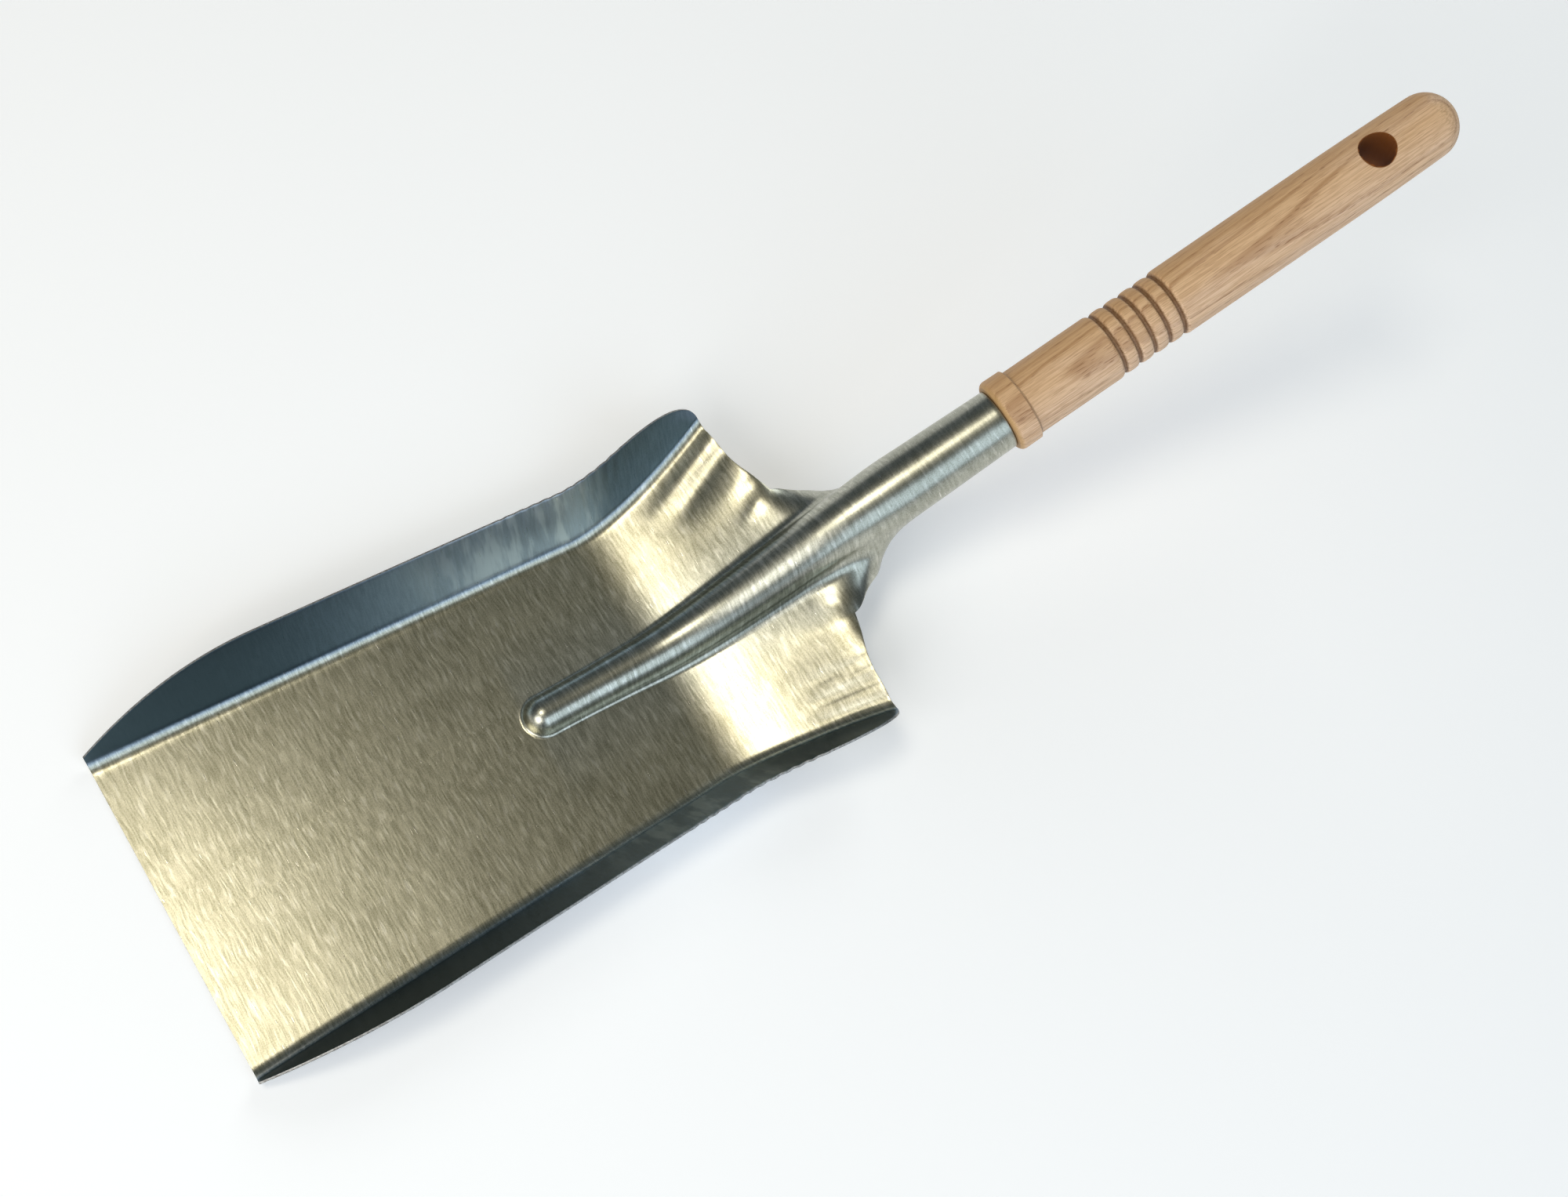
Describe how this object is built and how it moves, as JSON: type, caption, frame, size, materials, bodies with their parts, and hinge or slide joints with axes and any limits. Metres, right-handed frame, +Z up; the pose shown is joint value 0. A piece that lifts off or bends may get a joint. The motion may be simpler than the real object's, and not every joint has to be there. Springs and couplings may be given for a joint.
{
  "type": "grain scoop shovel",
  "caption": "Hand scoop shovel: a pressed zinc-coated steel pan with low flared walls, a raised rib and a rolled socket, on a turned wooden handle with a hang hole.",
  "frame": {"origin": "on the ground plane, under the middle of the overall length and width, with the flat pan floor lying on that plane", "axes": "+X along the tool from the mouth of the pan to the end of the handle, +Z up out of the pan, +Y across the pan"},
  "size_m": [0.4785, 0.1328, 0.143],
  "materials": {
    "zinc_coated_steel": "cold-rolled sheet with a mottled zinc coating, fine lines across the width and soft gloss",
    "turned_wood": "clear-sealed, ring-porous hardwood with long open pores and browned grooves",
    "nail_steel": "bright wire nail"
  },
  "bodies": {
    "root": {"blade": "zinc_coated_steel", "handle": "turned_wood", "socket_nail_left": "nail_steel", "socket_nail_right": "nail_steel"}
  },
  "joints": []
}
